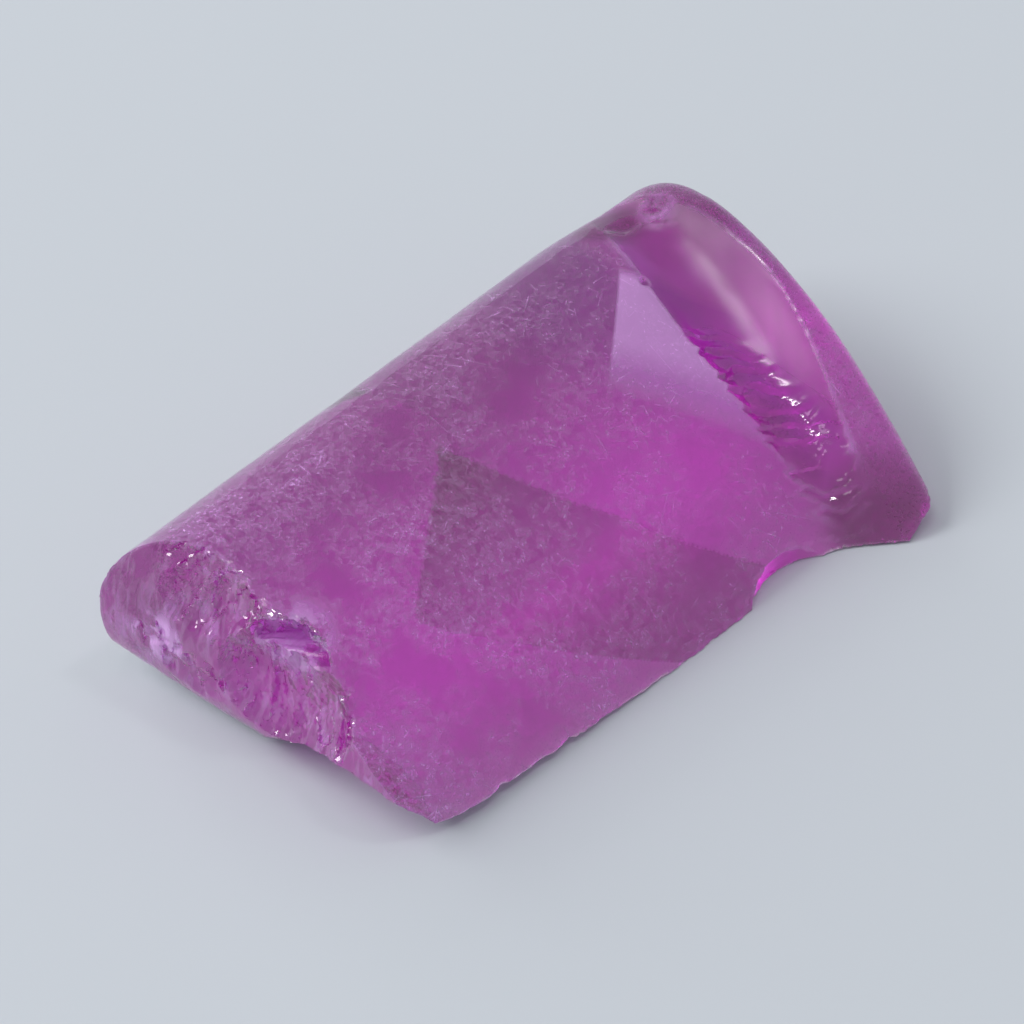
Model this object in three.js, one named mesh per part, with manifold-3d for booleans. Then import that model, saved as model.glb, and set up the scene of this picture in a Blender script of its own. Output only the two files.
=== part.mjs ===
// A rough zircon: a thick broken length of crystal that lies on its largest flat face.
// X runs along it, its broad worn skin faces -Y and up, and it lies on Z = 0. Sizes are in millimetres.
import * as THREE from 'three';
import { mergeVertices } from 'three/addons/utils/BufferGeometryUtils.js';
import Module from 'manifold-3d';

const wasm = await Module();
wasm.setup();

const degree = Math.PI / 180;
const far = 20; // well clear of the stone on every side

// The worn D section, the same from end to end: one broad arc that turns into a tight shoulder,
// then the back. It is drawn down past the floor and trimmed later.
const footDepth = 1; // the arc ends this far under the floor
const below = 5; // and the blank this far
const skinRadius = 15.5;
const shoulderRadius = 4;
const shoulder = { y: 4.2, z: 3.45 };
const shoulderTurn = 75 * degree;
const skinCentre = {
  y: shoulder.y + (skinRadius - shoulderRadius) * Math.cos(shoulderTurn),
  z: shoulder.z - (skinRadius - shoulderRadius) * Math.sin(shoulderTurn),
};
const backWall = shoulder.y + shoulderRadius;

// The section grows a little from the left tip to the right end, about its front foot.
const frontFoot = -8.2;
const taper = 0.023;

// The right end: rounded, bulging in the middle, slanting back towards the front, with a heel that
// spreads at its foot.
const rightEnd = 13.6;
const endRounding = 1.6;
const endFrom = 10;
const endSlant = 0.085;
const endBulge = { depth: 0.4, y: -1.5, reach: 6 };
const heel = { spread: 2.5, slant: 0.02, from: 7.6, to: 12.1, height: 8, flare: 1.5, mostFlare: 1.6 };

// The left end: a blunt nose, rounder below its tip than above it.
const nose = { tip: -13.75, height: 3.1, above: 8, below: 5.2, slant: 0.09 };
const blankStart = -18; // where the blank begins, to the left of the nose

// Shells that blows broke off: the ball each one leaves, the way from its centre to the point of the blow,
// the rings that spread from that point (depth, spacing), the angle they reach, and the shelf that one
// broke off on.
const bites = {
  upperScoop: {
    at: [-17.8, 3.2, 8.1], radius: 6, blow: [0.94, -0.18, -0.27], rings: [0.03, 0.9], reach: 60,
  },
  ledgeFlake: {
    at: [-12.6, 0.4, 5], radius: 1.8, blow: [0.2, 0.6, 0.7], rings: [0.02, 0.6], reach: 120, shelf: 5.05,
  },
  lowerScoop: {
    at: [-16.05, -0.3, 4.25], radius: 4.5, blow: [0.8, 0.45, 0.35], rings: [0.04, 0.8], reach: 80,
  },
  undercut: {
    at: [-18.5, -3.2, -5.6], radius: 9.8, blow: [0.6, -0.4, 0.7], rings: [0.05, 1.2], reach: 60,
  },
  tipHollow: { at: [-18, 3.5, 1.9], radius: 5.05, blow: [0.8, -0.3, 0.5], rings: [0.03, 0.8], reach: 50 },
  tipPatch: { at: [-17.25, 5.1, 3.1], radius: 4, blow: [0.9, 0.3, 0.3], rings: [0.03, 0.7], reach: 45 },
  headFlake: { at: [10.05, 5.55, 8.5], radius: 1.6, blow: [0, -0.6, -0.8], rings: [0.01, 0.6], reach: 60 },
  domeFlake: { at: [10.8, 5.4, 9.53], radius: 2.5, blow: [0.3, 0, -0.9], rings: [0.01, 0.8], reach: 40 },
  backHollow: {
    at: [-1.5, 32.6, 2.2], radius: 25, blow: [-0.12, -1, 0.12], rings: [0.07, 2.4], reach: 24,
  },
  backFlake: { at: [8.6, 17.8, 4.2], radius: 10, blow: [0.2, -1, -0.2], rings: [0.06, 1.5], reach: 40 },
  lowerEdgeBite: { at: [6, -8.5, 0.1], radius: 2.9, blow: [0, 1, 0.5], rings: [0.03, 0.7], reach: 60 },
};

// The glassy trough that a glancing blow ploughed across the skin beside the right end. It is deepest at y,
// rises out of the skin towards both sides, and leans to the left on its way to the front. Its angles go
// round the section from the front foot.
const trough = { radius: 3.6, lift: 2.8, x: 10.2, lean: 0.18, y: 0.8, rise: 0.145, angles: [18, 140] };

// The torn scales on the front half of its left flank.
const scales = {
  height: 0.18, wave: 1, across: [0.45, 0.87, 0.22], from: 0.5, fade: 1.2, flank: [7.6, 10],
};

// The underside: shallow growth faces that rise away from the resting face.
const underFaces = [
  { at: [-6.4, 2], run: [0.65, -0.76], tilt: 3.5 },
  { at: [-6.4, 2], run: [-0.82, -0.57], tilt: 7 },
  { at: [2, 1.5], run: [-0.52, 0.85], tilt: 2 },
];

// Small flats that take off corners: a point on each and the way out of the stone.
const flats = {
  back: { at: [8, backWall, 1.4], outward: [0.12, 0.76, -0.64] },
  toe: { at: [-11, -6.15, 0.2], outward: [-0.62, -0.6, -0.5] },
  heel: { at: [12.35, -6.75, 0.35], outward: [0.66, -0.5, -0.56] },
  heelTip: { at: [10.75, -7.9, 0], outward: [0.35, -0.8, -0.45] },
  rest: { at: [0, 0, 0], outward: [0, 0, -1] },
};

// Small chips along the sharp lower edge, longer than they are deep, each a little past the edge.
const chips = {
  count: 24, from: -9.5, to: 11, size: 0.3, least: 0.35, spread: 1.1, shape: [1.5, 1, 0.9], past: 0.55,
};

// How finely the round forms are cut.
const steps = {
  skin: 22, shoulder: 16, blank: 24, bevel: 5, troughSection: 56, troughPath: 72,
  noseBelow: 18, noseAbove: 24, perRing: 4, ballRest: 7, ballRound: 32,
};

const smooth = (value, low, high) => THREE.MathUtils.smoothstep(value, low, high);

// A repeatable number from 0 to 1 for each whole number.
function scatter(index) {
  const wave = Math.sin(index * 127.1 + 11.7) * 43758.5453;
  return wave - Math.floor(wave);
}

// Turns a closed three.js geometry into a manifold solid.
function solid(geometry) {
  const plain = geometry.index ? geometry.clone() : geometry;
  plain.deleteAttribute('normal');
  plain.deleteAttribute('uv');
  const merged = mergeVertices(plain, 1e-5);
  const mesh = new wasm.Mesh({
    numProp: 3,
    vertProperties: new Float32Array(merged.attributes.position.array),
    triVerts: new Uint32Array(merged.index.array),
  });
  return new wasm.Manifold(mesh);
}

// Moves every corner of a geometry by a rule.
function moveCorners(geometry, rule) {
  const corners = geometry.attributes.position;
  const point = new THREE.Vector3();
  for (let i = 0; i < corners.count; i += 1) {
    point.fromBufferAttribute(corners, i);
    rule(point);
    corners.setXYZ(i, point.x, point.y, point.z);
  }
  return geometry;
}

// Points of an arc in a plane, from one angle to another.
function arc([centreX, centreY], radius, start, end, count) {
  const points = [];
  for (let i = 0; i <= count; i += 1) {
    const angle = start + ((end - start) * i) / count;
    points.push(new THREE.Vector2(centreX + radius * Math.cos(angle), centreY + radius * Math.sin(angle)));
  }
  return points;
}

// The length of crystal with its worn skin, still square and long at the left.
function blank() {
  const foot = Math.PI - Math.asin((-footDepth - skinCentre.z) / skinRadius);
  const turn = Math.PI - shoulderTurn;
  const outline = new THREE.Shape([
    new THREE.Vector2(skinCentre.y - skinRadius, -below),
    ...arc([skinCentre.y, skinCentre.z], skinRadius, foot, turn, steps.skin),
    ...arc([shoulder.y, shoulder.z], shoulderRadius, turn, 0, steps.shoulder).slice(1),
    new THREE.Vector2(backWall, -below),
  ]);
  const geometry = new THREE.ExtrudeGeometry(outline, {
    depth: rightEnd - endRounding - blankStart,
    steps: steps.blank,
    bevelThickness: endRounding,
    bevelSize: endRounding,
    bevelOffset: -endRounding,
    bevelSegments: steps.bevel,
  });
  geometry.translate(0, 0, blankStart);
  // the outline's plane becomes YZ, and the extrusion runs along X
  const turnToX = new THREE.Matrix4().makeBasis(
    new THREE.Vector3(0, 1, 0),
    new THREE.Vector3(0, 0, 1),
    new THREE.Vector3(1, 0, 0),
  );
  return geometry.applyMatrix4(turnToX);
}

// Follows the skin across the stone, over the trough's floor.
class TroughPath extends THREE.Curve {
  getPoint(t, target = new THREE.Vector3()) {
    const angle = THREE.MathUtils.lerp(...trough.angles, t) * degree;
    const onSkin = angle < shoulderTurn;
    const centre = onSkin ? skinCentre : shoulder;
    const radius = onSkin ? skinRadius : shoulderRadius;
    const front = trough.y - (centre.y - radius * Math.cos(angle));
    const bow = Math.hypot(front, 1);
    const height = radius + trough.lift + trough.rise * (bow - 1);
    const x = trough.x - (trough.lean * (front + bow - 1)) / 2;
    return target.set(x, centre.y - height * Math.cos(angle), centre.z + height * Math.sin(angle));
  }
}

// The shape of what went: a round bar along that path, with slanting steps where the flank tore.
function troughCutter() {
  const round = arc([0, 0], trough.radius, 0, 2 * Math.PI, steps.troughSection).slice(0, -1);
  const geometry = new THREE.ExtrudeGeometry(new THREE.Shape(round), {
    extrudePath: new TroughPath(),
    steps: steps.troughPath,
    bevelEnabled: false,
  });
  const across = new THREE.Vector3(...scales.across).normalize();
  return moveCorners(geometry, (point) => {
    const [left, right] = scales.flank;
    const torn = smooth(scales.from - point.y, 0, scales.fade) * (1 - smooth(point.x, left, right));
    const phase = point.dot(across) / scales.wave;
    point.z -= scales.height * torn * (phase - Math.floor(phase));
  });
}

// How much larger the section is at a place along the stone than at its left tip.
function sectionScale(x) {
  return 1 + taper * THREE.MathUtils.clamp((x - nose.tip) / (rightEnd - nose.tip), 0, 1);
}

// Spreads the heel, shapes the end face and widens the section towards the right.
function settle(point) {
  const low = Math.min(Math.max(0, 1 - point.z / heel.height) ** heel.flare, heel.mostFlare);
  const end = smooth(point.x, endFrom, rightEnd);
  const wider = sectionScale(point.x);
  point.y -= heel.spread * smooth(point.x, heel.from, heel.to) * low;
  const bulge = endBulge.depth * Math.max(0, 1 - ((point.y - endBulge.y) / endBulge.reach) ** 2);
  point.x -= ((endSlant + heel.slant * low) * (shoulder.y - point.y) - bulge) * end;
  point.y = frontFoot + (point.y - frontFoot) * wider;
  point.z *= wider;
}

// Everything right of the blunt nose.
function noseKeeper() {
  const lower = [nose.tip + nose.below, nose.height];
  const upper = [nose.tip + nose.above, nose.height];
  const outline = new THREE.Shape([
    ...arc(lower, nose.below, 1.5 * Math.PI, Math.PI, steps.noseBelow),
    ...arc(upper, nose.above, Math.PI, 0.52 * Math.PI, steps.noseAbove).slice(1),
    new THREE.Vector2(far, nose.height + nose.above),
    new THREE.Vector2(far, nose.height - nose.below),
  ]);
  const geometry = new THREE.ExtrudeGeometry(outline, { depth: 2 * far, bevelEnabled: false });
  geometry.translate(0, 0, -far);
  geometry.rotateX(Math.PI / 2);
  return moveCorners(geometry, (point) => {
    point.x += nose.slant * (backWall - point.y);
  });
}

// A ball turned on the axis of the blow, with rings round it where it will meet the stone.
function biteCutter({ at, radius, blow, rings, reach, shelf }) {
  const [depth, spacing] = rings;
  const ringedSteps = Math.ceil((radius * reach * degree * steps.perRing) / spacing);
  const profile = [];
  for (let i = 0; i <= ringedSteps; i += 1) {
    const angle = (reach * degree * i) / ringedSteps;
    const ringed = radius + depth * Math.cos((2 * Math.PI * radius * angle) / spacing);
    profile.push(new THREE.Vector2(ringed * Math.sin(angle), ringed * Math.cos(angle)));
  }
  for (let i = 1; i <= steps.ballRest; i += 1) {
    const angle = (reach + ((180 - reach) * i) / steps.ballRest) * degree;
    const x = i === steps.ballRest ? 0 : radius * Math.sin(angle);
    profile.push(new THREE.Vector2(x, radius * Math.cos(angle)));
  }
  const geometry = new THREE.LatheGeometry(profile.reverse(), steps.ballRound);
  const aim = new THREE.Vector3(...blow).normalize();
  geometry.applyQuaternion(new THREE.Quaternion().setFromUnitVectors(new THREE.Vector3(0, 1, 0), aim));
  const ball = solid(geometry.translate(...at));
  return shelf === undefined ? ball : ball.trimByPlane([0, 0, 1], shelf);
}

// A slab whose inner face passes through a point and that reaches from there out of the stone.
function slab(at, outward) {
  const geometry = new THREE.BoxGeometry(4 * far, 4 * far, far);
  const aim = new THREE.Vector3(...outward).normalize();
  geometry.translate(0, 0, far / 2);
  geometry.applyQuaternion(new THREE.Quaternion().setFromUnitVectors(new THREE.Vector3(0, 0, 1), aim));
  return geometry.translate(...at);
}

function underFace({ at, run, tilt }) {
  const side = new THREE.Vector2(...run).normalize();
  const lean = Math.sin(tilt * degree);
  return slab([at[0], at[1], 0], [side.y * lean, -side.x * lean, -Math.cos(tilt * degree)]);
}

// How high the underside is over the floor at a place.
function underside(x, y) {
  const heights = underFaces.map(({ at, run, tilt }) => {
    const side = new THREE.Vector2(...run).normalize();
    return Math.tan(tilt * degree) * (side.y * (x - at[0]) - side.x * (y - at[1]));
  });
  return Math.max(0, ...heights);
}

// Where the skin meets the underside at a place along the stone.
function lowerEdge(x) {
  const spread = heel.spread * smooth(x, heel.from, heel.to);
  const wider = sectionScale(x);
  const edge = new THREE.Vector3(x, frontFoot, 0);
  // the two heights depend on each other, and settle within a few rounds
  for (let round = 0; round < 6; round += 1) {
    edge.z = underside(x, edge.y);
    edge.y = skinCentre.y - Math.sqrt(skinRadius ** 2 - (edge.z - skinCentre.z) ** 2) - spread;
    edge.y = frontFoot + (edge.y - frontFoot) * wider;
  }
  return edge;
}

// Little flakes out of that sharp edge.
function edgeChips() {
  const list = [];
  for (let i = 0; i < chips.count; i += 1) {
    const share = (i + 1.6 * scatter(i)) / chips.count;
    const edge = lowerEdge(THREE.MathUtils.lerp(chips.from, chips.to, share));
    const size = chips.size * (chips.least + chips.spread * scatter(i + 100) ** 2);
    const geometry = new THREE.IcosahedronGeometry(size, 1);
    geometry.scale(...chips.shape);
    geometry.rotateZ(scatter(i + 200) - 0.5);
    geometry.translate(edge.x, edge.y - chips.past * size, edge.z + 0.5 * size * scatter(i + 300));
    list.push(solid(geometry));
  }
  return list;
}

function buildStone() {
  const worn = solid(blank()).subtract(solid(troughCutter()));
  const settled = solid(moveCorners(toGeometry(worn), settle));
  const cutters = [
    ...Object.values(bites).map(biteCutter),
    ...underFaces.map((face) => solid(underFace(face))),
    ...Object.values(flats).map(({ at, outward }) => solid(slab(at, outward))),
    ...edgeChips(),
  ];
  const blunt = settled.intersect(solid(noseKeeper()));
  return toGeometry(cutters.reduce((stone, cutter) => stone.subtract(cutter), blunt));
}

// Brings a manifold solid back as a three.js geometry.
function toGeometry(manifold) {
  const { vertProperties, triVerts } = manifold.getMesh();
  const geometry = new THREE.BufferGeometry();
  geometry.setAttribute('position', new THREE.BufferAttribute(vertProperties, 3));
  geometry.setIndex(new THREE.BufferAttribute(triVerts, 1));
  geometry.computeVertexNormals();
  return geometry;
}

const zircon = new THREE.Mesh(
  buildStone(),
  new THREE.MeshStandardMaterial({ color: 0xa0509a, roughness: 0.25, metalness: 0, flatShading: true }),
);
zircon.name = 'zircon';

const part = new THREE.Group();
part.add(zircon);

export default part;
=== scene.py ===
import bpy
import functools
import math
import time
import numpy as np
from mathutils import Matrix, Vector


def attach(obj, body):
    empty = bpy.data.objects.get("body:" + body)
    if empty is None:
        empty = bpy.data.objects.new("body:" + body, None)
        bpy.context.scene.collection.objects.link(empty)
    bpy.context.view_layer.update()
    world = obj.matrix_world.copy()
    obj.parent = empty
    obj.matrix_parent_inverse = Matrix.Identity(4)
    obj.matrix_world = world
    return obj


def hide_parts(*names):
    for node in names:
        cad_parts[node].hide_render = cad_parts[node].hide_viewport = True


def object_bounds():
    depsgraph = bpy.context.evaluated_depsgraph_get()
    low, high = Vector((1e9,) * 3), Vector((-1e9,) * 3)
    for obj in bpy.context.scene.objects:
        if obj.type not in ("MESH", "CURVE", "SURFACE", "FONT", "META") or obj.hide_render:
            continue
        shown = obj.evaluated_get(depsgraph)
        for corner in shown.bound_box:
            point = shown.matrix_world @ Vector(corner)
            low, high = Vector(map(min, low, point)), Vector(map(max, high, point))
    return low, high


started = time.time()
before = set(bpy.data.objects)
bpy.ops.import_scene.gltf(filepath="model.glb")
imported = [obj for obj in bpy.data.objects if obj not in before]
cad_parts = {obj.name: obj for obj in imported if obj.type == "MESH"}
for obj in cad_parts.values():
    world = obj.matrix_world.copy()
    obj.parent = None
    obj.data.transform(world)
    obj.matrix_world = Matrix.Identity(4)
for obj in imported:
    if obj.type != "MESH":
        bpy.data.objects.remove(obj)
cadLow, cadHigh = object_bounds()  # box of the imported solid, before anything is added


def report(stage):
    print(f"{time.time() - started:6.1f} s  {stage}")


report("frame loaded")

mm = 0.001


def hexColour(code, alpha=1.0):
    # sRGB hex to the linear colour that a shader wants
    parts = [int(code[i:i + 2], 16) / 255 for i in (0, 2, 4)]
    return [p / 12.92 if p <= 0.04045 else ((p + 0.055) / 1.055) ** 2.4 for p in parts] + [alpha]


def ease(value, low, high):
    t = np.clip((value - low) / (high - low), 0, 1)
    return t * t * (3 - 2 * t)


def blendMax(a, b, width):
    # the larger of two, rounded over where they cross
    h = np.clip(0.5 + 0.5 * (a - b) / width, 0, 1)
    return b + (a - b) * h + width * h * (1 - h)


def softNoise(x, y, z, size, seed=0):
    # smooth random field from -1 to 1 whose lumps are about as wide as size
    px, py, pz = x / size, y / size, z / size
    ix, iy, iz = (np.floor(p).astype(np.int64) for p in (px, py, pz))
    fx, fy, fz = px - ix, py - iy, pz - iz
    fx, fy, fz = (f * f * (3 - 2 * f) for f in (fx, fy, fz))
    total = 0
    for dx in (0, 1):
        for dy in (0, 1):
            for dz in (0, 1):
                # an integer hash of the lattice point
                h = (ix + dx) * 73856093 ^ (iy + dy) * 19349663 ^ (iz + dz) * 83492791 ^ (seed * 2654435)
                h = h & 0xFFFFFFFF
                h = ((h ^ (h >> 15)) * 2246822519) & 0xFFFFFFFF
                h = ((h ^ (h >> 13)) * 3266489917) & 0xFFFFFFFF
                h = (h ^ (h >> 16)) / 4294967295.0
                weight = (fx if dx else 1 - fx) * (fy if dy else 1 - fy) * (fz if dz else 1 - fz)
                total = total + weight * h
    return total * 2 - 1


def lumpy(x, y, z, sizeAndHeight, seed):
    # relief of lumps: how wide they are and how high
    size, height = sizeAndHeight
    return height * softNoise(x, y, z, size, seed)


# the worn body, in millimetres and degrees
stone = {
    "skinRadius": 15.5,  # the broad arc of the skin
    "shoulderRadius": 4.0,
    "shoulderY": 4.2,
    "shoulderZ": 3.45,
    "shoulderTurn": 75.0,  # where the arc passes into the shoulder
    "frontFoot": -8.2,
    "taper": 0.023,  # how much fuller the section is at the right end
    "leftTip": -13.75,
    "rightEnd": 13.6,
    "endFrom": 10.0,  # where the right end starts to slant and bulge
    "endBlend": 1.8,
    "endSlant": 0.085,
    "endBulge": 0.4,
    "bulgeMiddle": -1.5,
    "bulgeReach": 6.0,
    "heelSpread": 2.5,  # how far the foot spreads towards the heel
    "heelSlant": 0.02,
    "heelFrom": 7.6,
    "heelTo": 12.1,
    "heelHeight": 8.0,  # the spread fades out up to here,
    "heelFlare": 1.5,  # faster the higher this power is,
    "heelMostFlare": 1.6,  # and grows no more than this below the foot
    "toeBlend": 1.3,  # how round the toe is worn over its flat
    "toeFlat": ((-11.0, -6.15, 0.2), (-0.62, -0.6, -0.5)),  # a point of it and the way out
    "noseHeight": 3.1,  # the left tip's height, and its radius above and below that
    "noseAbove": 8.0,
    "noseBelow": 5.2,
    "noseSlant": 0.09,
    "wellOutside": 50.0,  # stands for no surface here
}


def wornSkin(y, z):
    # the D section: broad arc, tight shoulder, back
    s = stone
    turn = math.radians(s["shoulderTurn"])
    skinY = s["shoulderY"] + (s["skinRadius"] - s["shoulderRadius"]) * math.cos(turn)
    skinZ = s["shoulderZ"] - (s["skinRadius"] - s["shoulderRadius"]) * math.sin(turn)
    broad = np.hypot(y - skinY, z - skinZ) - s["skinRadius"]
    tight = np.hypot(y - s["shoulderY"], z - s["shoulderZ"]) - s["shoulderRadius"]
    back = y - s["shoulderY"] - s["shoulderRadius"]
    angle = np.arctan2(z - s["shoulderZ"], s["shoulderY"] - y)
    angleSkin = np.arctan2(z - skinZ, skinY - y)
    onSkin = (angle < turn) & (angleSkin < turn)
    return np.where(onSkin, broad, np.where(z > s["shoulderZ"], tight, back))


# where a blow broke a shell off: the ball it leaves, the way from its centre to the blow, the rings round
# the blow and their spacing, the ridges that fan out from it and their number, and how rugged it is torn
bites = {
    "upperScoop": {
        "at": (-17.8, 3.2, 8.1), "radius": 6.0, "blow": (0.94, -0.18, -0.27),
        "ring": 0.02, "spacing": 0.8, "hackle": 0.05, "fan": 110, "rugged": 0.2,
    },
    "ledgeFlake": {
        "at": (-12.6, 0.4, 5.0), "radius": 1.8, "blow": (0.2, 0.6, 0.7),
        "ring": 0.02, "spacing": 0.5, "hackle": 0.03, "fan": 30, "shelf": 5.05, "rugged": 0.25,
    },
    "lowerScoop": {
        "at": (-16.05, -0.3, 4.25), "radius": 4.5, "blow": (0.8, 0.45, 0.35),
        "ring": 0.02, "spacing": 0.75, "hackle": 0.08, "fan": 60, "rugged": 0.22,
    },
    "undercut": {
        "at": (-18.5, -3.2, -5.6), "radius": 9.8, "blow": (0.6, -0.4, 0.7),
        "ring": 0.04, "spacing": 1.1, "hackle": 0.03, "fan": 90, "rugged": 0.04,
    },
    "tipHollow": {
        "at": (-18.0, 3.5, 1.9), "radius": 5.05, "blow": (0.8, -0.3, 0.5),
        "ring": 0.03, "spacing": 0.6, "hackle": 0.04, "fan": 60, "rugged": 0.22,
    },
    "tipPatch": {
        "at": (-17.25, 5.1, 3.1), "radius": 4.0, "blow": (0.9, 0.3, 0.3),
        "ring": 0.04, "spacing": 0.5, "hackle": 0.03, "fan": 40, "rugged": 0.2,
    },
    "headFlake": {
        "at": (10.05, 5.55, 8.5), "radius": 1.6, "blow": (0.0, -0.6, -0.8),
        "ring": 0.01, "spacing": 0.5, "hackle": 0.01, "fan": 20,
    },
    "domeFlake": {
        "at": (10.8, 5.4, 9.53), "radius": 2.5, "blow": (0.3, 0.0, -0.9),
        "ring": 0.01, "spacing": 0.5, "hackle": 0.01, "fan": 20,
    },
    "sparkChip": {
        "at": (8.3, 2.6, 7.5), "radius": 0.45, "blow": (0.3, 0.0, -0.9),
        "ring": 0.0, "spacing": 0.5, "hackle": 0.02, "fan": 7,
    },
    "backHollow": {
        "at": (-1.5, 32.6, 2.2), "radius": 25.0, "blow": (-0.12, -1.0, 0.12),
        "ring": 0.07, "spacing": 2.4, "hackle": 0.02, "fan": 60,
    },
    "backFlake": {
        "at": (8.6, 17.8, 4.2), "radius": 10.0, "blow": (0.2, -1.0, -0.2),
        "ring": 0.06, "spacing": 1.5, "hackle": 0.03, "fan": 60,
    },
    "lowerEdgeBite": {
        "at": (6.0, -8.5, 0.1), "radius": 2.9, "blow": (0.0, 1.0, 0.5),
        "ring": 0.03, "spacing": 0.7, "hackle": 0.03, "fan": 40,
    },
}

# the same on every break
breakMarks = {
    "wallDepth": 0.6,  # rings and ridges are worked out this near the ball's wall
    "side": (0.3, 0.2, 0.93),  # any way that no blow comes from
    "wanderSize": 1.3,  # rings and ridges wander in waves this wide
    "ringWander": 0.35,
    "ridgeWander": 0.8,
    "patchSize": 0.9,  # and are stronger in patches this wide
    "ringLeast": 0.4,
    "spread": 2.2,  # how soon the ridges reach their full height
    "tornSize": 0.85,  # the bigger torn faces
    "tornStretch": 0.4,
    "tornWander": 0.25,
    "tornPatch": 0.3,
    "smallSize": 0.4,  # the smaller ones on them
    "smallStretch": 0.22,
    "smallWander": 0.1,
    "smallShare": 0.35,
    "tornLevel": 0.6,  # the torn faces stand this much proud of the ball
    "shelfFan": (-13.0, 2.6),  # the spot that the shelf's ridges fan out from
    "shelfRidges": 40,
    "shelfRidge": 0.03,
    "shelfWaver": (0.7, 0.04),
}


def facets(u, v, size, seed):
    # flat cells about as wide as size, each at its own tilt, with small steps between them
    stepHeight = 0.5
    u, v = u / size, v / size
    nearest = np.full(np.shape(u), 9.0)
    value = np.zeros(np.shape(u))
    for stepU in (-1, 0, 1):
        for stepV in (-1, 0, 1):
            cellU, cellV = np.floor(u) + stepU, np.floor(v) + stepV
            mix = cellU * 127.1 + cellV * 311.7 + seed * 74.7
            chances = (np.mod(np.sin(mix + 17.3 * k) * 4375.85, 1) for k in range(5))
            shiftU, shiftV, tiltU, tiltV, drop = chances
            du, dv = u - cellU - shiftU, v - cellV - shiftV
            closer = du * du + dv * dv < nearest
            nearest = np.where(closer, du * du + dv * dv, nearest)
            height = (2 * tiltU - 1) * du + (2 * tiltV - 1) * dv + stepHeight * (drop - 0.5)
            value = np.where(closer, height, value)
    return value


def biteField(x, y, z, bite, fine):
    # over zero inside the bite
    m = breakMarks
    cx, cy, cz = bite["at"]
    dx, dy, dz = x - cx, y - cy, z - cz
    length = np.sqrt(dx * dx + dy * dy + dz * dz) + 1e-9
    radius = bite["radius"]
    if fine:
        near = np.abs(radius - length) < m["wallDepth"]
        blow = np.array(bite["blow"]) / np.linalg.norm(bite["blow"])
        side = np.cross(blow, m["side"])
        side /= np.linalg.norm(side)
        other = np.cross(blow, side)
        ux, uy, uz = dx[near], dy[near], dz[near]
        along = (ux * blow[0] + uy * blow[1] + uz * blow[2]) / length[near]
        reach = radius * np.arccos(np.clip(along, -1, 1))
        acrossSide = ux * side[0] + uy * side[1] + uz * side[2]
        acrossOther = ux * other[0] + uy * other[1] + uz * other[2]
        turn = np.arctan2(acrossSide, acrossOther)
        wander = softNoise(x[near], y[near], z[near], m["wanderSize"], 3)
        patch = 0.5 + 0.5 * softNoise(x[near], y[near], z[near], m["patchSize"], 5)
        rings = np.cos(2 * math.pi * (reach + m["ringWander"] * wander) / bite["spacing"])
        ridge = np.abs(((bite["fan"] * (turn / (2 * math.pi)) + m["ridgeWander"] * wander) % 1) * 2 - 1)
        spread = np.clip(reach / radius * m["spread"], 0, 1)
        ringed = bite["ring"] * rings * (m["ringLeast"] + (1 - m["ringLeast"]) * patch)
        detail = ringed + bite["hackle"] * (ridge - 0.5) * spread * patch
        if "rugged" in bite:
            # torn into small faces, drawn out along the way the break ran
            sideways = radius * np.sin(reach / radius) * turn
            run = m["tornStretch"] * reach + m["tornWander"] * wander
            torn = facets(run, sideways + m["tornPatch"] * patch, m["tornSize"], 1)
            run = m["smallStretch"] * reach + m["smallWander"] * wander
            small = facets(run, sideways, m["smallSize"], 2)
            torn = torn + m["smallShare"] * small
            detail = detail + bite["rugged"] * (torn - m["tornLevel"])
        radius = np.full(np.shape(length), radius)
        radius[near] += detail
    bitten = radius - length
    if "shelf" in bite:
        # the shell broke off on a shelf
        shelf = z - bite["shelf"]
        if fine:
            fanX, fanY = m["shelfFan"]
            fan = np.arctan2(y - fanY, x - fanX)
            shelf = shelf + m["shelfRidge"] * np.cos(m["shelfRidges"] * fan)
            shelf = shelf + lumpy(x, y, z, m["shelfWaver"], 9)
        bitten = np.minimum(bitten, shelf)
    return bitten


# the glassy trough across the skin by the right end, and the torn scales on its left flank
trough = {
    "radius": 3.6,  # of the pipe that hollows it, and how high over the skin the pipe's middle runs
    "lift": 2.8,
    "x": 10.2,
    "lean": 0.18,  # how far it turns back towards the left on its way to the front
    "y": 0.8,  # its deepest point, and how fast it grows shallow from there
    "rise": 0.145,
    "softness": 0.25,  # rounding of its upper left border
    "softFrom": (-0.6, 0.8),  # y over which the rounding sets in, and over which it ends
    "softTo": (3.5, 5.0),
    "tornSlope": 0.45,  # the torn scales widen by this towards the front
    "tornShift": 1.6,
    "tornFade": 1.3,
    "tornFrom": (-0.3, 0.9),  # how far forward of the deepest point they set in
    "scaleHeight": 0.2,
    "scaleLevel": 0.35,  # share of that height at which the flank lies between its scales
    "scaleLeast": 0.4,
    "scaleWave": 0.68,
    "scaleAcross": (0.45, 0.87, 0.22),
    "scaleCrest": 0.75,
    "scalePatch": 0.6,
    "bigWander": (0.9, 0.5),  # how wide and how far the rows of big and of small scales wander
    "smallWander": (0.4, 0.5),
    "smallScales": 3.1,  # small scales to a big one
    "bigShare": 0.82,
    "smallShare": 0.18,
    "smallCrest": 0.6,
    "waver": (1.1, 0.012),
}


def scalloped(phase, crest):
    # a saw blade from 0 to 1 whose long side takes the crest share of each tooth
    part = phase - np.floor(phase)
    return np.minimum(part / crest, (1 - part) / (1 - crest))


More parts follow.
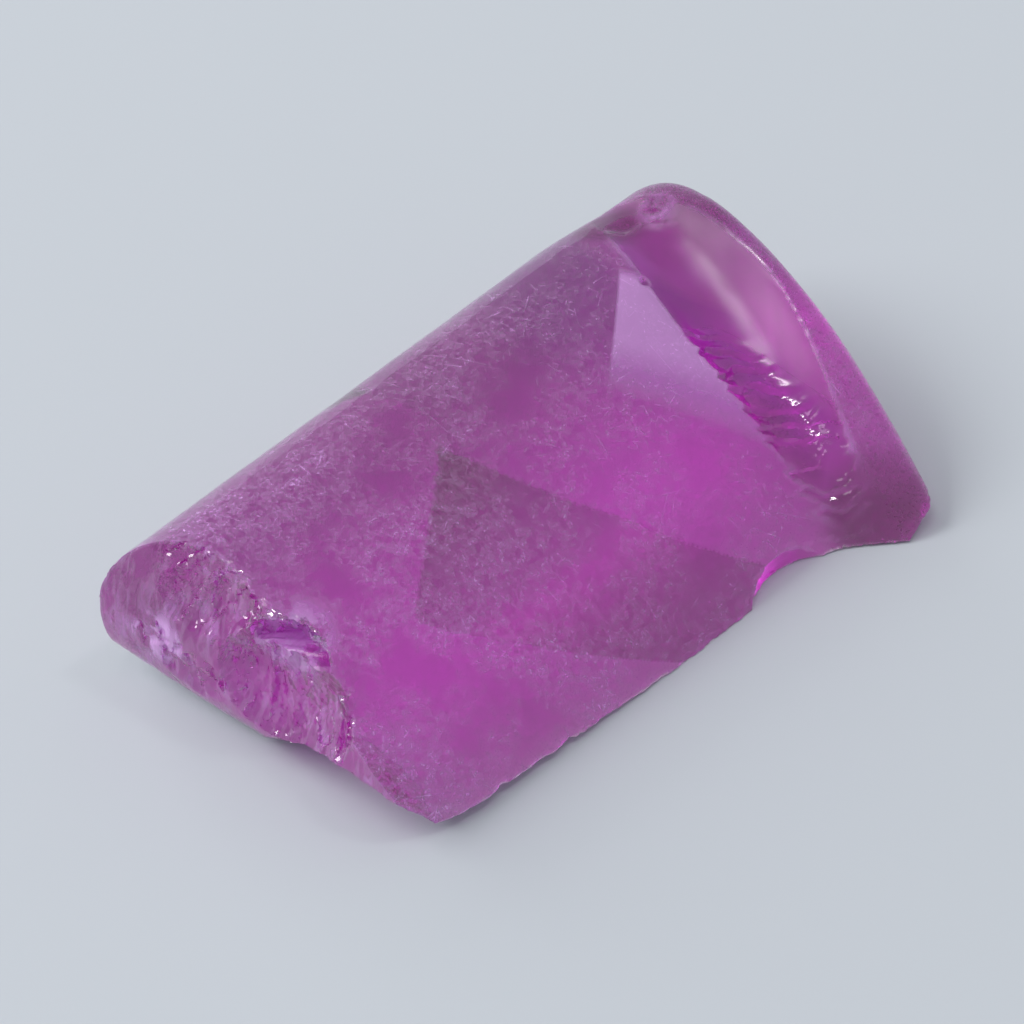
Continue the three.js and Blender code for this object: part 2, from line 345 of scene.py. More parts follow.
def troughPlace(x, y):
    # how far forward of its deepest point, how far across from its middle, and how torn the flank is there
    t = trough
    front = t["y"] - y
    across = x - t["x"] + t["lean"] * 0.5 * (front + np.sqrt(front ** 2 + 1) - 1)
    limit = t["tornSlope"] * front - t["tornShift"]
    torn = (1 - ease(across, limit, limit + t["tornFade"])) * ease(front, *t["tornFrom"])
    return front, across, torn


def troughField(x, y, z, xFlat, yFlat, skin, fine):
    # over zero inside the trough
    t = trough
    front, across, torn = troughPlace(xFlat, yFlat)
    rise = t["rise"] * (np.sqrt(front ** 2 + 1) - 1)
    radius = t["radius"]
    if fine:
        cx, cy, cz = t["scaleAcross"]
        phase = (x * cx + y * cy + z * cz) / t["scaleWave"] + lumpy(x, y, z, t["bigWander"], 11)
        minor = phase * t["smallScales"] + lumpy(x, y, z, t["smallWander"], 14)
        small = t["smallShare"] * scalloped(minor, t["smallCrest"])
        tooth = t["bigShare"] * scalloped(phase, t["scaleCrest"]) + small
        patch = 0.5 + 0.5 * softNoise(x, y, z, t["scalePatch"], 12)
        strength = t["scaleLeast"] + (1 - t["scaleLeast"]) * patch
        radius = radius + t["scaleHeight"] * torn * strength * (tooth - t["scaleLevel"])
        radius = radius + lumpy(x, y, z, t["waver"], 13)
    return radius - np.hypot(across, skin - t["lift"] - rise)


# flat faces: a point of each and the way out of the stone
planes = {
    "rest": ((0, 0, 0), (0, 0, -1)),
    "backChamfer": ((8, 8.2, 1.4), (0.12, 0.76, -0.64)),
    "heelChamfer": ((12.35, -6.75, 0.35), (0.66, -0.5, -0.56)),
    "heelTip": ((10.75, -7.9, 0.0), (0.35, -0.8, -0.45)),
}

# the growth faces underneath: a point where each leaves the resting face, the way that edge runs, the tilt
underFaces = {
    "underLeft": ((-6.4, 2.0), (0.65, -0.76), 3.5),
    "underBack": ((-6.4, 2.0), (-0.82, -0.57), 7.0),
    "underRight": ((2.0, 1.5), (-0.52, 0.85), 2.0),
}
for faceName, ((edgeX, edgeY), (runX, runY), tilt) in underFaces.items():
    lean = math.radians(tilt)
    size = math.hypot(runX, runY)
    outward = (runY / size * math.sin(lean), -runX / size * math.sin(lean), -math.cos(lean))
    planes[faceName] = ((edgeX, edgeY, 0), outward)


def planeField(x, y, z, face):
    # over zero outside the face
    (px, py, pz), (nx, ny, nz) = face
    size = math.sqrt(nx * nx + ny * ny + nz * nz)
    return ((x - px) * nx + (y - py) * ny + (z - pz) * nz) / size


# thin edges are nibbled: how deep and how wide, and the sizes of the bigger and the smaller nibbles
nibbles = {
    "depth": 0.08,
    "width": 0.16,
    "bigSize": 0.42,
    "bigLeast": 0.1,
    "smallSize": 0.19,
    "smallShare": 0.5,
    "elsewhere": 0.12,  # how strong they are away from the brittle edges
    "upperLeft": ((8.0, 11.0), (3.2, 4.4)),  # where these are: how far left, how high
    "frontFoot": ((8.0, 9.5), (0.7, 1.6)),
    "restHeight": 0.05,  # under it the resting face stays flat
}


def nibbled(x, y, z, parts):
    # the parts with their thin edges nibbled: brittle at the left end's upper edges and along the front foot
    n = nibbles
    first, second = np.sort(parts, axis=0)[:1:-1]
    edge = np.exp(-((first - second) / n["width"]) ** 2)
    left, height = n["upperLeft"]
    upperLeft = ease(-x, *left) * ease(z, *height)
    left, height = n["frontFoot"]
    frontFoot = (1 - ease(z, *height)) * (1 - ease(-x, *left))
    edge = edge * (n["elsewhere"] + (1 - n["elsewhere"]) * np.maximum(upperLeft, frontFoot))
    nibble = np.clip(softNoise(x, y, z, n["bigSize"], 31) - n["bigLeast"], 0, 1) * edge
    nibble = nibble + n["smallShare"] * np.clip(softNoise(x, y, z, n["smallSize"], 32), 0, 1) * edge
    parts = parts + n["depth"] * nibble
    parts[3] -= n["depth"] * nibble * (z <= n["restHeight"])
    return parts


# fine relief of the skin and of the broken nose: how wide and how high its lumps are
waver = {
    "skinBroad": (2.6, 0.02),
    "skinFine": (0.7, 0.007),
    "noseBroad": (1.0, 0.035),
    "noseFine": (0.45, 0.01),
    "noseCalm": (3.5, 5.5),  # the heights between which the nose's broad lumps fade out
}


def stoneParts(x, y, z, fine=True):
    # the worn skin, the trough, the breaks and the underside, each under zero where the stone is
    s = stone
    length = s["rightEnd"] - s["leftTip"]
    fuller = 1 + s["taper"] * np.clip((x - s["leftTip"]) / length, 0, 1)
    y = s["frontFoot"] + (y - s["frontFoot"]) / fuller
    z = z / fuller
    low = np.minimum(np.clip(1 - z / s["heelHeight"], 0, None) ** s["heelFlare"], s["heelMostFlare"])
    yFlat = y + s["heelSpread"] * ease(x, s["heelFrom"], s["heelTo"]) * low
    slant = s["endSlant"] + s["heelSlant"] * low
    bulge = s["endBulge"] * np.clip(1 - ((y - s["bulgeMiddle"]) / s["bulgeReach"]) ** 2, 0, None)
    xFlat = x + (slant * (s["shoulderY"] - y) - bulge) * ease(x, s["endFrom"], s["rightEnd"])
    skin = wornSkin(yFlat, z)
    if fine:
        skin = skin + lumpy(x, y, z, waver["skinBroad"], 1) + lumpy(x, y, z, waver["skinFine"], 2)
    worn = blendMax(skin, xFlat - s["rightEnd"], s["endBlend"])
    worn = blendMax(worn, planeField(x, y, z, s["toeFlat"]), s["toeBlend"])

    groove = troughField(x, y, z, xFlat, yFlat, skin, fine)
    if fine:
        # the trough's upper left border is rubbed round
        width = trough["softness"] * ease(y, *trough["softFrom"]) * (1 - ease(y, *trough["softTo"])) + 1e-4
        gap = np.clip(1 - np.abs(worn - groove) / width, 0, 1)
        lift = 0.25 * width * gap ** 2
        worn, groove = worn + lift, groove + lift

    over = z > s["noseHeight"]
    bend = np.where(over, s["noseAbove"], s["noseBelow"])
    tip = s["leftTip"] + bend + s["noseSlant"] * (s["shoulderY"] + s["shoulderRadius"] - y)
    nose = np.hypot(x - tip, z - s["noseHeight"]) - bend
    if fine:
        nose = nose + lumpy(x, y, z, waver["noseBroad"], 21) * (1 - ease(z, *waver["noseCalm"]))
        nose = nose + lumpy(x, y, z, waver["noseFine"], 22)
    broken = np.where(x < tip, nose, -s["wellOutside"])
    for bite in bites.values():
        broken = np.maximum(broken, biteField(x, y, z, bite, fine))
    under = np.full(np.shape(x), -s["wellOutside"])
    for face in planes.values():
        under = np.maximum(under, planeField(x, y, z, face))
    parts = np.array([worn, groove, broken, under])
    return nibbled(x, y, z, parts) if fine else parts


def stoneField(x, y, z, fine=True):
    # under zero inside the stone
    return stoneParts(x, y, z, fine).max(axis=0)


# how the mesh is made from the form, lengths in mm
meshing = {
    "step": 0.1,
    "quickStep": 0.22,
    "margin": 0.35,
    "coarseSteps": 4,  # fine steps to a step of the first, coarse look at the form
    "nearSteps": 0.9,  # the fine form is worked out within this share of a coarse step of the surface,
    "nearMore": 0.2,  # and this much further
    "hold": 0.03,  # how strongly a corner is held to the middle of its cell's crossings
    "stray": 0.05,  # how far it may leave its cell, in steps
    "keepTriangles": 185000,
    "sharpAngle": 32.0,
}


def stretchGrid(values, counts, factor):
    # a coarse grid drawn out to a fine one, straight between its values
    for axis in range(3):
        place = np.arange(counts[axis]) / factor
        lower = np.minimum(place.astype(int), values.shape[axis] - 2)
        share = (place - lower).reshape([-1 if i == axis else 1 for i in range(3)])
        values = np.take(values, lower, axis) * (1 - share) + np.take(values, lower + 1, axis) * share
    return values


def fieldSlope(field, points, reach=0.004):
    # unit slope of the field, from four samples round each point
    total = np.zeros_like(points)
    for corner in ((1, -1, -1), (-1, -1, 1), (-1, 1, -1), (1, 1, 1)):
        moved = points + reach * np.array(corner)
        total += np.array(corner) * field(*moved.T)[:, None]
    return total / (np.linalg.norm(total, axis=1, keepdims=True) + 1e-12)


def skinField(field, low, high, step):
    # quads on the field's zero surface, each corner where its cell's tangent planes meet, which keeps creases
    m = meshing
    factor = m["coarseSteps"]
    counts = (np.ceil((high - low) / step / factor).astype(int)) * factor + 1
    coarse = [low[i] + step * factor * np.arange((counts[i] - 1) // factor + 1) for i in range(3)]
    rough = field(*np.meshgrid(*coarse, indexing="ij"), fine=False)
    values = stretchGrid(rough, counts, factor)
    near = np.nonzero(np.abs(values) < step * factor * m["nearSteps"] + m["nearMore"])
    spots = [low[i] + step * near[i] for i in range(3)]
    values[near] = field(*spots)
    inside = values < 0

    cells = counts - 1
    points, quads = [], []
    for axis in range(3):
        lowSide = [slice(None)] * 3
        highSide = [slice(None)] * 3
        lowSide[axis], highSide[axis] = slice(0, -1), slice(1, None)
        crossing = inside[tuple(lowSide)] != inside[tuple(highSide)]
        index = np.argwhere(crossing)
        nextIndex = index.copy()
        nextIndex[:, axis] += 1
        before = values[tuple(index.T)]
        after = values[tuple(nextIndex.T)]
        share = before / (before - after)
        point = low + step * index
        point[:, axis] += step * share
        points.append(point)
        # the four cells round this edge, counter-clockwise seen from its far end
        a, b = (axis + 1) % 3, (axis + 2) % 3
        ring = []
        for da, db in ((-1, -1), (0, -1), (0, 0), (-1, 0)):
            cell = index.copy()
            cell[:, a] += da
            cell[:, b] += db
            ring.append((cell[:, 0] * cells[1] + cell[:, 1]) * cells[2] + cell[:, 2])
        ring = np.stack(ring, 1)
        ring[before > 0] = ring[before > 0][:, ::-1]
        quads.append(ring)
    points, quads = np.concatenate(points), np.concatenate(quads)
    slopes = fieldSlope(field, points)

    used, quadCorners = np.unique(quads.ravel(), return_inverse=True)
    owner = np.repeat(np.arange(len(points)), 4)
    n, p = slopes[owner], points[owner]
    offset = (n * p).sum(1)
    total = len(used)
    share = np.bincount(quadCorners, minlength=total)
    middle = np.stack([np.bincount(quadCorners, p[:, i], total) / share for i in range(3)], 1)
    square = np.zeros((total, 3, 3))
    pull = np.zeros((total, 3))
    for i in range(3):
        pull[:, i] = np.bincount(quadCorners, n[:, i] * offset, total)
        for j in range(3):
            square[:, i, j] = np.bincount(quadCorners, n[:, i] * n[:, j], total)
    pull -= np.einsum("nij,nj->ni", square, middle)
    square += m["hold"] * np.eye(3)
    corners = middle + np.linalg.solve(square, pull[..., None])[..., 0]
    cell = np.stack(np.unravel_index(used, cells), 1)
    stray = m["stray"] * step
    corners = np.clip(corners, low + step * cell - stray, low + step * (cell + 1) + stray)
    return corners, quadCorners.reshape(-1, 4)


# the faces underneath: how rough, how chalky, and how much darker in colour; that darkening is painted shade,
# strongest on the resting face, where the stone's own shadow on the paper shows through
matt = {
    "rest": (0.4, 0.36, 0.95),
    "underLeft": (0.4, 0.6, 0.03),
    "underBack": (0.4, 0.85, 0.0),
    "underRight": (0.4, 0.6, 0.05),
}
otherMatt = (0.4, 0.0, 0.0)

# spots on the surface: middle and radius in mm, strength
spots = {
    # small cracks under the surface, which show as a whitish patch
    "feather": (
        ((-13.3, 5.6, 3.2), 1.5, 1.0),
        ((11.2, 5.2, 7.3), 1.1, 0.35),
        ((-11.6, 0.6, 5.4), 1.7, 0.8),
    ),
    # where the colour is deeper
    "deepAndShade": (
        ((9.6, 6.0, 7.0), 1.7, 0.85),
        ((12.9, 4.6, 6.6), 2.6, 0.4),
        ((10.4, -6.4, 1.0), 2.6, 0.75),
        ((-12.0, -2.1, 4.3), 0.5, 0.9),
        ((-13.6, 6.6, 4.4), 1.3, 0.35),
    ),
    # the same, but only in the trough, along its torn scales
    "scales": (
        ((8.0, -1.2, 5.3), 1.6, 0.5),
        ((7.9, -2.8, 4.2), 2.0, 0.65),
        ((8.2, -4.5, 2.6), 1.7, 0.5),
    ),
}

# where the marks that the material reads begin and end, in mm
marking = {
    "border": 0.05,  # half the width over which one kind of surface passes into the next
    "spotCore": 0.5,  # share of a spot's radius that has its full strength
    "tornFrom": (5.0, 8.0),  # how far left the torn end's streaks set in
    "scaleBare": 0.75,  # how much less the trough is rubbed on its torn scales
    "rimWidth": 0.05,
    "rimLeast": 0.3,  # height from which edges are rubbed white
}


def markStone(mesh):
    # marks from 0 to 1 at each corner, for the material to read: the kind of surface, its chalk, its spots
    m = marking
    corners = np.empty(3 * len(mesh.vertices))
    mesh.vertices.foreach_get("co", corners)
    x, y, z = corners.reshape(-1, 3).T / mm
    parts = stoneParts(x, y, z)
    first, second = np.sort(parts, axis=0)[:1:-1]

    def shown(part):
        # 1 where this part is the stone's surface, 0 where another is
        return ease(part - np.where(part < first, first, second), -m["border"], m["border"])

    def spotted(name):
        value = np.zeros(len(x))
        for (px, py, pz), radius, strength in spots[name]:
            away = np.sqrt((x - px) ** 2 + (y - py) ** 2 + (z - pz) ** 2)
            value = np.maximum(value, strength * (1 - ease(away, m["spotCore"] * radius, radius)))
        return value

    worn, groove, broken, under = (shown(part) for part in parts)
    outermost = np.argmax([planeField(x, y, z, face) for face in planes.values()], axis=0)
    rough, chalk, deepAndShade = np.array([matt.get(name, otherMatt) for name in planes])[outermost].T
    marks = {
        "worn": worn,
        "groove": groove * (1 - m["scaleBare"] * troughPlace(x, y)[2]),
        "torn": broken * ease(-x, *m["tornFrom"]),
        "feather": spotted("feather"),
        # the faces underneath add painted shade to this darker colour, most of all the resting face
        "deepAndShade": np.maximum.reduce([spotted("deepAndShade"), spotted("scales") * groove, under * deepAndShade]),
        "below": under * rough,
        "chalk": under * chalk,
        "rim": np.exp(-((first - second) / m["rimWidth"]) ** 2) * (z > m["rimLeast"]),
    }
    for name, values in marks.items():
        mesh.attributes.new(name, "FLOAT", "POINT").data.foreach_set("value", values)


def makeStone():
    m = meshing
    low = np.array(cadLow) / mm - m["margin"]
    high = np.array(cadHigh) / mm + m["margin"]
    corners, quads = skinField(stoneField, low, high, m["step"])
    report(f"stone: {len(corners)} corners, {len(quads)} quads")
    mesh = bpy.data.meshes.new("zircon")
    mesh.from_pydata((corners * mm).tolist(), [], quads.tolist())
    mesh.validate()
    piece = bpy.data.objects.new("zirconStone", mesh)
    bpy.context.collection.objects.link(piece)
    triangles = 2 * len(quads)
    if triangles > m["keepTriangles"]:
        thin = piece.modifiers.new("thin", "DECIMATE")
        thin.ratio = m["keepTriangles"] / triangles
        bpy.context.view_layer.objects.active = piece
        with bpy.context.temp_override(object=piece):
            bpy.ops.object.modifier_apply(modifier="thin")
    mesh = piece.data
    markStone(mesh)
    mesh.shade_smooth()
    mesh.set_sharp_from_angle(angle=math.radians(m["sharpAngle"]))
    report(f"stone: {len(mesh.polygons)} faces")
    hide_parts("zircon")
    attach(piece, "root")
    return piece


def addNode(tree, kind, *feeds, **settings):
    # feeds go to the inputs in order; each feed or setting is a value or the socket that it is linked from
    node = tree.nodes.new("ShaderNode" + kind)
    for key, value in [*enumerate(feeds), *settings.items()]:
        if isinstance(value, bpy.types.NodeSocket):
            tree.links.new(value, node.inputs[key])
        elif isinstance(key, str) and key not in node.inputs:
            setattr(node, key, value)
        else:
            node.inputs[key].default_value = value
    return node.outputs


def newMaterial(name):
    material = bpy.data.materials.new(name)
    material.use_nodes = True
    material.node_tree.nodes.clear()
    return material, material.node_tree


# rough zircon: bright clear stone, pink-magenta from end to end. Rolling in gravel has matted its skin to a
# fine scratched frost with whitish scuffs, and where it broke later it is glassy.
zircon = {
    "ior": 1.93,
    "absorbColour": (0.975, 0.0, 0.945, 1.0),  # linear; green is what the crystal takes out
    "absorbPerMetre": 260.0,
    "frostColour": "ffffff",
    # lilac white of the scuffs, and of the painted highlight by the trough
    "scuffAndHighlightColour": "e8b0f4",
    # darker magenta: deeper colour in spots, and painted shade on the faces underneath
    "deepAndShadeColour": "940c80",
    "breakRough": 0.06,
    "grooveRough": 0.3,
    "skinWays": (0.75, 0.66),  # how much of y and of z is in the way across the skin
    "seedShift": (0.37, 0.11, 0.23),
    # each pattern's lumps to a millimetre, detail, seed and roughness
    "patterns": {
        "grain": (8.0, 3.0, 1.0, 0.55),  # frost in grains of about 0.1 mm, drawn coarse enough to show
        "patchesWide": (0.3, 3.0, 2.0, 0.6),
        "patchesFine": (2.6, 7.0, 5.0, 0.75),
        "specks": (9.0, 3.0, 9.0, 0.6),
        "rubbed": (2.2, 3.0, 4.0, 0.55),
        "stepPatches": (0.7, 3.0, 6.0, 0.5),
        "flakes": (0.9, 4.0, 8.0, 0.6),
    },
    # what a pattern or a place is drawn out to: from, to, and what these two become if not 0 and 1
    "frost": (0.35, 0.65, 0.05, 0.12),  # roughness between the grains and on them
    "endFrost": (0.0085, 0.0105, 0.0, 0.17),  # the right end is rubbed more; metres along the stone
    "wide": (0.35, 0.6),
    "fine": (0.4, 0.64),
    "leftward": (-0.011, 0.006, 1.0, 0.3),  # the right half is scuffed less; metres along the stone
    "grainy": (0.3, 0.7, 0.2, 1.3),
    "scuffed": (0.0, 1.0, 0.02, 0.34),
    "specked": (0.55, 0.66, 0.0, 0.6),
    "rubbedWhite": (0.35, 0.6, 0.1, 1.0),
    "whiteFrom": (0.0, 0.25),
    "streaked": (0.45, 0.62, 0.03, 0.34),
    "stepped": (0.38, 0.58, 0.25, 1.0),
    "flaked": (0.42, 0.5, 0.0, 0.6),
    "rimScuff": 0.25,
    "streak": {"Scale": 1000.0, "Detail": 4.0, "Roughness": 0.6, "Distortion": 0.8},  # steps of about 1 mm
    "streakTurn": (0.0, 0.6, 0.3),
    "streakScale": (0.8, 3.0, 0.9),
    # cells to a millimetre, width and length in cells, share of cells scratched, seed, strength
    "scratchLayers": (
        (0.7, 0.016, 0.7, 0.1, 3.0, 0.5),
        (1.9, 0.04, 0.7, 0.18, 11.0, 0.5),
        (3.4, 0.07, 0.5, 0.2, 7.0, 0.4),
        (5.2, 0.12, 0.25, 0.25, 19.0, 0.6),
    ),
    "scratchTurn": 3.1,  # a scratch may run any way
    "scratchCore": (0.3, 0.5),  # share of its half width and length that has its full strength
    "scratchLeast": 0.06,  # how many there are between the patches
    # the painted highlight by the trough, a lilac-white patch where a bright reflection shows through the
    # stone: mm per metre along and across the skin, and a shift in mm
    "paintedHighlightSideways": (617.0, -787.0, 1.41),
    "paintedHighlightEndways": (787.0, 617.0, -6.824),
    "paintedHighlightSide": (0.0, 0.12),
    "paintedHighlightStart": (-0.9, 1.3),
    "paintedHighlightStop": (3.9, 4.3, 1.0, 0.0),
    "paintedHighlightRight": (0.0104, 0.0108, 1.0, 0.0),
    "paintedHighlightGlow": 0.5,
}


def zirconMaterial():
    z = zircon
    material, tree = newMaterial("tumbledZircon")
    add = functools.partial(addNode, tree)
    place = add("TexCoord")["Object"]
    worn, groove, torn, below, chalk, rim, feather, deepAndShade = (
        add("Attribute", attribute_name=name)["Fac"]
        for name in ("worn", "groove", "torn", "below", "chalk", "rim", "feather", "deepAndShade")
    )
    pattern = {}
    for name, (perMm, detail, seed, rough) in z["patterns"].items():
        shift = [seed * share for share in z["seedShift"]]
        moved = add("VectorMath", place, shift, operation="ADD")["Vector"]
        pattern[name] = add("TexNoise", moved, Scale=perMm / mm, Detail=detail, Roughness=rough)["Fac"]

    axes = add("SeparateXYZ", place)
    frost = add("MapRange", pattern["grain"], *z["frost"])[0]
    endFrost = add("MapRange", axes["X"], *z["endFrost"])[0]
    frost = add("Math", frost, endFrost, operation="ADD")[0]
    roughness = add("Mix", data_type="FLOAT", Factor=worn, A=z["breakRough"], B=frost)["Result"]
    roughness = add("Math", roughness, below, operation="MAXIMUM")[0]
    grooveRough = add("Math", groove, z["grooveRough"], operation="MULTIPLY")[0]
    roughness = add("Math", roughness, grooveRough, operation="MAXIMUM")[0]

    # the skin laid flat: along the stone, and across it from the front foot to the shoulder
    forward = add("Math", axes["Y"], z["skinWays"][0], operation="MULTIPLY")[0]
    upward = add("Math", axes["Z"], z["skinWays"][1], operation="MULTIPLY")[0]
    across = add("Math", forward, upward, operation="ADD")[0]
    flat = add("CombineXYZ", axes["X"], across)["Vector"]

    # whitish scuffs in patches of a few millimetres, thicker towards the left
    wide = add("MapRange", pattern["patchesWide"], *z["wide"])[0]
    fine = add("MapRange", pattern["patchesFine"], *z["fine"])[0]
    patches = add("Math", wide, fine, operation="MULTIPLY")[0]
    leftward = add("MapRange", axes["X"], *z["leftward"])[0]
    grainy = add("MapRange", pattern["grain"], *z["grainy"])[0]
    scuff = add("Math", patches, leftward, operation="MULTIPLY")[0]
    scuff = add("Math", scuff, grainy, operation="MULTIPLY")[0]
    scuff = add("MapRange", scuff, *z["scuffed"])[0]
    specks = add("MapRange", pattern["specks"], *z["specked"])[0]
    specks = add("Math", specks, leftward, operation="MULTIPLY")[0]
    specks = add("Math", specks, patches, operation="MULTIPLY")[0]
    scuff = add("Math", scuff, specks, operation="ADD")[0]

    # scratches: one in a share of the cells, straight, each its own way, and most of them in the patches
    inPatches = add("Math", patches, z["scratchLeast"], operation="ADD")[0]
    for perMm, width, length, share, seed, strength in z["scratchLayers"]:
        scaled = add("VectorMath", flat, (perMm / mm,) * 3, (seed,) * 3, operation="MULTIPLY_ADD")["Vector"]
        cell = add("TexVoronoi", scaled, voronoi_dimensions="2D", Scale=1.0, Randomness=1.0)
        offset = add("VectorMath", scaled, cell["Position"], operation="SUBTRACT")["Vector"]
        chance = add("SeparateColor", cell["Color"])
        angle = add("Math", chance["Red"], z["scratchTurn"], operation="MULTIPLY")[0]
        turned = add("VectorRotate", rotation_type="Z_AXIS", Vector=offset, Angle=angle)["Vector"]
        run = add("SeparateXYZ", turned)
        acrossRun = add("Math", run["Y"], operation="ABSOLUTE")[0]
        alongRun = add("Math", run["X"], operation="ABSOLUTE")[0]
        coreWidth, coreLength = z["scratchCore"]
        thin = add("MapRange", acrossRun, coreWidth * width, width, 1.0, 0.0)[0]
        short = add("MapRange", alongRun, coreLength * length, length, 1.0, 0.0)[0]
        line = add("Math", thin, short, operation="MULTIPLY")[0]
        chosen = add("Math", chance["Green"], share, operation="LESS_THAN")[0]
        line = add("Math", line, chosen, operation="MULTIPLY")[0]
        line = add("Math", line, inPatches, operation="MULTIPLY")[0]
        line = add("Math", line, strength, operation="MULTIPLY")[0]
        scuff = add("Math", scuff, line, operation="ADD")[0]

    # a painted highlight by the trough: a lilac-white patch, crisp on one side and fading from it, where a
    # bright reflection shows through the stone
    ways = []
    for along, over, shift in (z["paintedHighlightSideways"], z["paintedHighlightEndways"]):
        way = add("Math", across, over, shift, operation="MULTIPLY_ADD")[0]
        ways.append(add("Math", axes["X"], along, way, operation="MULTIPLY_ADD")[0])
    sideways, endways = ways
    paintedHighlight = add("MapRange", sideways, *z["paintedHighlightSide"])[0]
    for way, limits in ((endways, "paintedHighlightStart"), (endways, "paintedHighlightStop"), (axes["X"], "paintedHighlightRight")):
        within = add("MapRange", way, *z[limits])[0]
        paintedHighlight = add("Math", paintedHighlight, within, operation="MULTIPLY")[0]
    glow = add("Math", paintedHighlight, z["paintedHighlightGlow"], operation="MULTIPLY")[0]
    scuff = add("Math", scuff, glow, operation="ADD")[0]

    # the edges of the breaks are rubbed white
    rubbed = add("MapRange", pattern["rubbed"], *z["rubbedWhite"])[0]
    rubbed = add("Math", rim, rubbed, operation="MULTIPLY")[0]
    rubbed = add("Math", rubbed, z["rimScuff"], operation="MULTIPLY")[0]
    scuff = add("Math", scuff, worn, operation="MULTIPLY")[0]
    scuff = add("Math", scuff, rubbed, operation="ADD")[0]

    # the torn left end is streaked with small steps that throw light back, and whiter over its feathers
    stretched = add("Mapping", place, Rotation=z["streakTurn"], Scale=z["streakScale"])["Vector"]
    streak = add("TexNoise", stretched, **z["streak"])["Fac"]
    streaks = add("MapRange", streak, *z["streaked"])[0]
    stepped = add("MapRange", pattern["stepPatches"], *z["stepped"])[0]
    streaks = add("Math", streaks, stepped, operation="MULTIPLY")[0]
    streaks = add("Math", streaks, torn, operation="MULTIPLY")[0]
    flakes = add("MapRange", pattern["flakes"], *z["flaked"])[0]
    flakes = add("Math", flakes, feather, operation="MULTIPLY")[0]
    streaks = add("Math", streaks, flakes, operation="ADD")[0]
    scuff = add("Math", scuff, streaks, operation="ADD")[0]

    # light goes in where the surface is neither scuffed nor chalky
    milky = add("Math", scuff, chalk, operation="ADD")[0]
    clear = add("Math", 1.0, milky, operation="SUBTRACT")[0]
    clear = add("Math", clear, 0.0, operation="MAXIMUM")[0]
    # lilac white where scuffed, and over the painted highlight
    white = add("MapRange", scuff, *z["whiteFrom"])[0]
    white = add("Math", paintedHighlight, white, operation="MAXIMUM")[0]
    frostColour, scuffAndHighlightColour = hexColour(z["frostColour"]), hexColour(z["scuffAndHighlightColour"])
    colour = add("Mix", data_type="RGBA", Factor=white, A=frostColour, B=scuffAndHighlightColour)["Result"]
    # darker magenta in the deeper spots, and painted shade on the faces underneath, most of all the resting
    # face
    colour = add("Mix", data_type="RGBA", Factor=deepAndShade, A=colour, B=hexColour(z["deepAndShadeColour"]))["Result"]
    shader = add("BsdfPrincipled", **{
        "IOR": z["ior"], "Base Color": colour, "Roughness": roughness, "Transmission Weight": clear,
    })
    absorb = add("VolumeAbsorption", Color=z["absorbColour"], Density=z["absorbPerMetre"])
    add("OutputMaterial", Surface=shader["BSDF"], Volume=absorb["Volume"])
    return material


# uncoated drawing paper, pale blue-grey: pressed fibres without a glaze, so it is matt and takes soft shadows
paper = {
    "colour": "c3c8ce",
    "roughness": 0.8,
}


def paperMaterial():
    material, tree = newMaterial("palePaper")
    shader = addNode(tree, "BsdfPrincipled", **{
        "Base Color": hexColour(paper["colour"]),
        "Roughness": paper["roughness"],
    })
    addNode(tree, "OutputMaterial", Surface=shader["BSDF"])
    return material


stonePiece = makeStone()
stonePiece.data.materials.clear()
stonePiece.data.materials.append(zirconMaterial())
report("stone dressed")

# floor, light and camera: angles in degrees, lengths in metres where nothing else is said
stage = {
    "floorWidth": 1.2,
    "floorGap": 0.00002,  # keeps the stone's flat face off the paper's
    "worldColour": "f1f6fc",
    "worldStrength": 0.45,
    "lookAt": (-2.9, -1.2, 6.5),  # mm
    "azimuth": -46.0,
    "elevation": 45.0,
    "distance": 0.2,
    "lens": 203.9,  # mm
    "sensorWidth": 36,  # mm
    "clip": (0.005, 10),
}
# azimuth and elevation, distance, width and height, watts
lamps = {
    "softWindow": (50, 71, 0.7, 0.05, 0.10, 0.3),
    "backSky": (178, 22, 0.9, 0.6, 0.4, 2.2),
    "leftSky": (-140, 40, 0.9, 0.6, 0.4, 5.0),
    "topSky": (-100, 78, 0.9, 0.5, 0.5, 1.2),
}
# it lights the stone from behind but leaves no gleam along the shoulder
withoutGleam = ("backSky",)
# light turns back many times inside a stone before it leaves
bounces = {
    "max_bounces": 14,
    "glossy_bounces": 10,
    "transmission_bounces": 12,
}


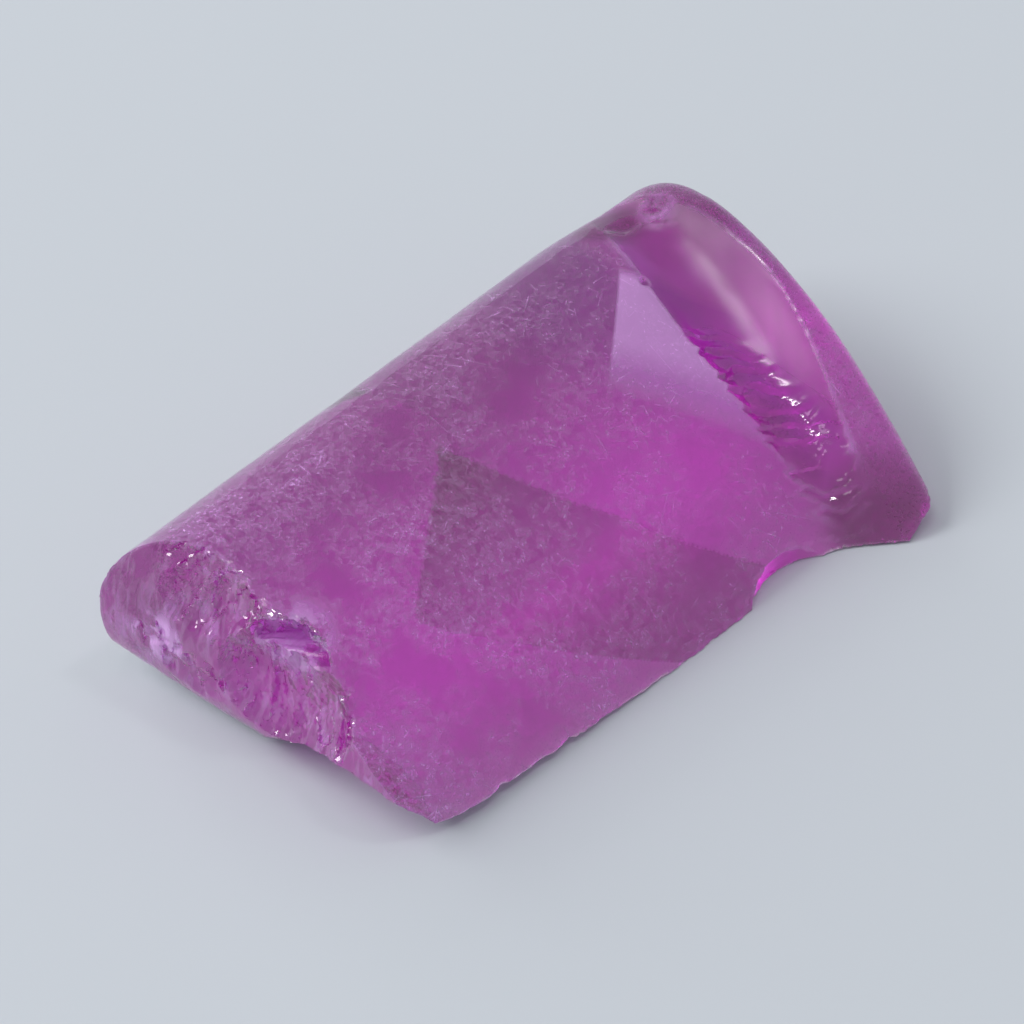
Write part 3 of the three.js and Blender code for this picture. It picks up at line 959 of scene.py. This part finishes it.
def wayOut(azimuth, elevation):
    # azimuth 0 is the front, and it grows to the right
    turn, lift = math.radians(azimuth), math.radians(elevation)
    return Vector((math.sin(turn) * math.cos(lift), -math.cos(turn) * math.cos(lift), math.sin(lift)))


def makeFloor():
    half = stage["floorWidth"] / 2
    corners = [(-half, -half, 0), (half, -half, 0), (half, half, 0), (-half, half, 0)]
    mesh = bpy.data.meshes.new("paperFloor")
    mesh.from_pydata(corners, [], [(0, 1, 2, 3)])
    floor = bpy.data.objects.new("paperFloor", mesh)
    bpy.context.collection.objects.link(floor)
    mesh.materials.append(paperMaterial())
    floor.location.z = cadLow.z - stage["floorGap"]
    return floor


def makeWorld():
    world = bpy.data.worlds.new("softRoom")
    bpy.context.scene.world = world
    world.use_nodes = True
    tree = world.node_tree
    tree.nodes.clear()
    glow = addNode(tree, "Background", hexColour(stage["worldColour"]), stage["worldStrength"])
    addNode(tree, "OutputWorld", Surface=glow["Background"])


def addAreaLight(name, azimuth, elevation, distance, width, height, power):
    light = bpy.data.lights.new(name, "AREA")
    light.shape = "RECTANGLE"
    light.size, light.size_y = width, height
    light.energy = power
    piece = bpy.data.objects.new(name, light)
    bpy.context.collection.objects.link(piece)
    away = wayOut(azimuth, elevation)
    piece.location = away * distance
    piece.rotation_euler = away.to_track_quat("Z", "Y").to_euler()
    piece.visible_glossy = name not in withoutGleam


def makeCamera():
    camera = bpy.data.cameras.new("camera")
    camera.lens = stage["lens"]
    camera.sensor_width = stage["sensorWidth"]
    camera.clip_start, camera.clip_end = stage["clip"]
    piece = bpy.data.objects.new("camera", camera)
    bpy.context.collection.objects.link(piece)
    away = wayOut(stage["azimuth"], stage["elevation"])
    piece.location = Vector(stage["lookAt"]) * mm + away * stage["distance"]
    piece.rotation_euler = (-away).to_track_quat("-Z", "Y").to_euler()
    bpy.context.scene.camera = piece


makeFloor()
makeWorld()
for name, lamp in lamps.items():
    addAreaLight(name, *lamp)
makeCamera()
for name, count in bounces.items():
    setattr(bpy.context.scene.cycles, name, count)
bpy.context.scene.view_settings.view_transform = "Standard"
report("stage set")
